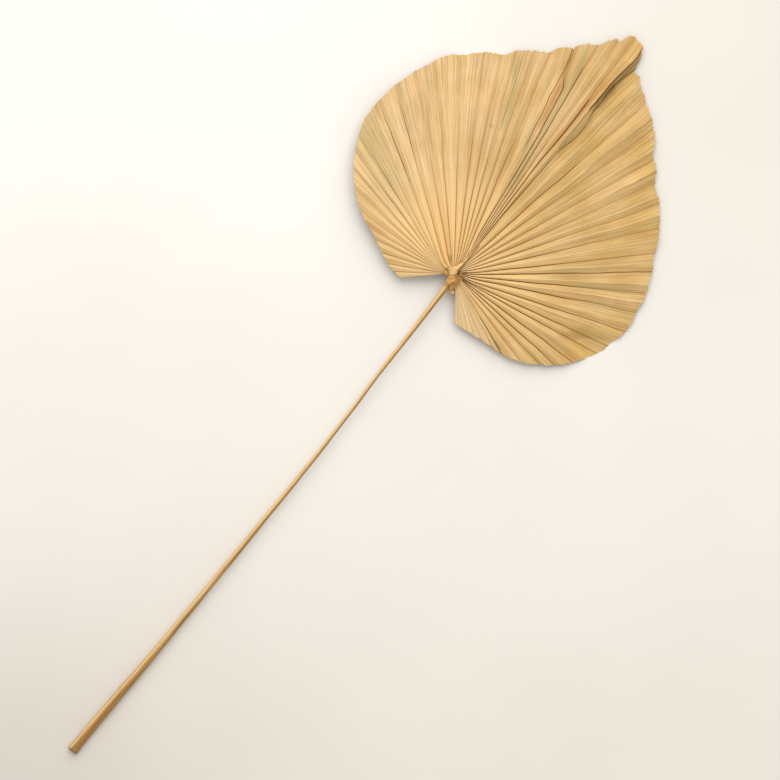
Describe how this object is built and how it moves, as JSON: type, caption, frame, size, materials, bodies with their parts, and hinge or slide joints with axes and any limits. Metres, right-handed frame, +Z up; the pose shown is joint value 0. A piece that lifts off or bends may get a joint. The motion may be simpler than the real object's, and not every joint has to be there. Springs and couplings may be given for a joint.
{
  "type": "dried palm leaf",
  "caption": "Dried fan-palm leaf on its cut stalk: a pleated heart-shaped fan with a long point, lying flat, face up.",
  "frame": {"origin": "middle of the leaf's box, on the surface that it lies on", "axes": "+Y along the stalk towards the leaf's point, +X towards the wider lobe, +Z up out of the leaf's face"},
  "size_m": [0.3696, 0.9966, 0.022],
  "materials": {
    "blade": "matt dry leaf with fine veins, straw yellow with grey-green and tan streaks",
    "stalk": "smooth dry leaf stalk, golden brown at the cut end and paler above"
  },
  "bodies": {
    "root": {"blade": "blade", "stalk": "stalk"}
  },
  "joints": []
}
